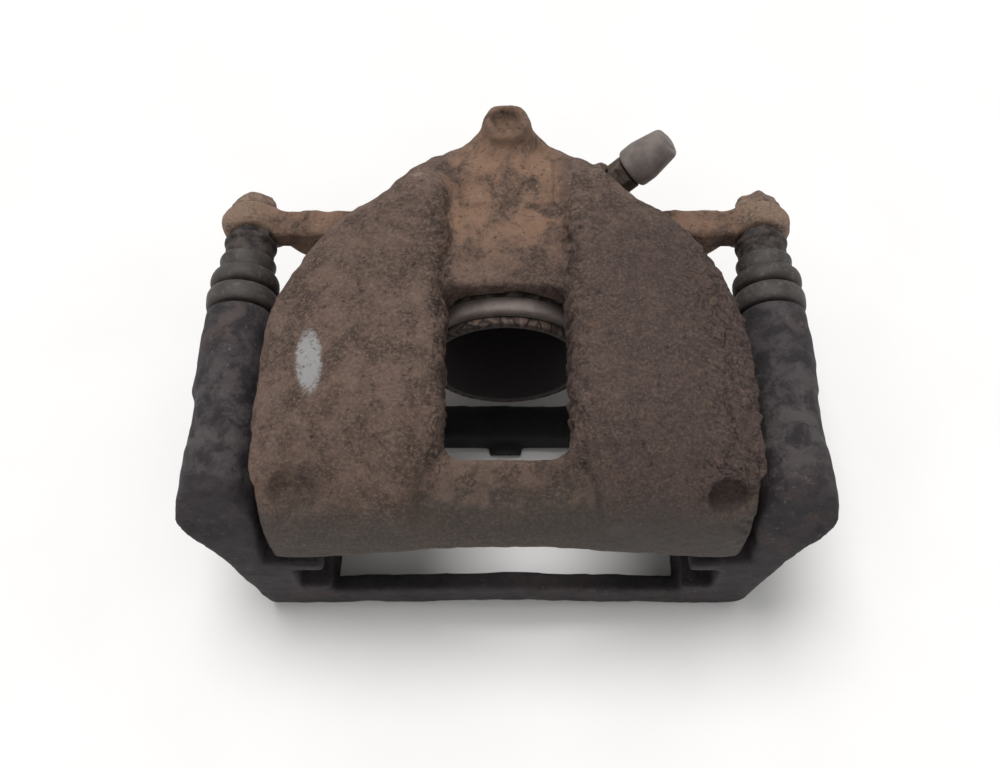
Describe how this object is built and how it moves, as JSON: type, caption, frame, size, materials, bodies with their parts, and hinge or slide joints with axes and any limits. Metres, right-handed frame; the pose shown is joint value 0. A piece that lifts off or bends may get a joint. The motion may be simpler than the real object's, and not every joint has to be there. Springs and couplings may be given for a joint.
{
  "type": "brake caliper",
  "caption": "Sliding brake caliper with a wide bridge and central window, a hollow piston, bellows-covered guide pins and an open carrier bracket, used and rusty.",
  "frame": {"origin": "on the resting plane, under the middle of the whole; the piston axis is 46 mm above it", "axes": "+X along the disc's edge towards the bleeder, +Y inboard along the piston axis, +Z away from the hub"},
  "size_m": [0.1946, 0.1414, 0.092],
  "materials": {
    "housing_iron": "rusted cast surface, brown with orange patches, smoother on the finger plate",
    "carrier_iron": "dark oxidised cast surface with brake dust",
    "piston_steel": "rust-stained turned steel",
    "pin_steel": "turned steel, dulled",
    "bolt_steel": "rusted steel",
    "spring_steel": "dusty stainless sheet",
    "boot_rubber": "aged grey-black rubber",
    "seal_rubber": "smooth black rubber",
    "cap_rubber": "dusty grey rubber"
  },
  "bodies": {
    "carrier": {"carrier_bracket": "carrier_iron", "guide_boot_left": "boot_rubber", "guide_boot_right": "boot_rubber", "pad_clip_outboard_left": "spring_steel", "pad_clip_outboard_right": "spring_steel", "pad_clip_inboard_left": "spring_steel", "pad_clip_inboard_right": "spring_steel"},
    "caliper": {"caliper_housing": "housing_iron", "piston_seal": "seal_rubber", "piston_dust_boot": "boot_rubber", "dust_boot_ring": "spring_steel", "guide_pin_bush": "seal_rubber", "guide_pin_left": "pin_steel", "guide_pin_right": "pin_steel", "guide_bolt_left": "bolt_steel", "guide_bolt_right": "bolt_steel"},
    "piston": {"piston": "piston_steel"},
    "bleeder": {"bleeder_screw": "bolt_steel"},
    "cap": {"bleeder_cap": "cap_rubber"}
  },
  "joints": [
    {"name": "caliper_slide", "type": "slide", "parent": "carrier", "child": "caliper", "axis": [0, 1, 0], "range_m": [-0.005, 0.011], "deforming": ["guide_boot_left", "guide_boot_right"]},
    {"name": "piston_slide", "type": "slide", "parent": "caliper", "child": "piston", "axis": [0, -1, 0], "range_m": [-0.005, 0.018], "deforming": ["piston_dust_boot"]},
    {"name": "bleeder_turn", "type": "hinge", "parent": "caliper", "child": "bleeder", "pos_m": [0.0425, 0.05425, 0.079], "axis": [0.7286, 0.2196, 0.6488], "range_deg": [0, 270]},
    {"name": "cap_pull", "type": "slide", "parent": "bleeder", "child": "cap", "axis": [0.7286, 0.2196, 0.6488], "range_m": [0, 0.02]}
  ]
}
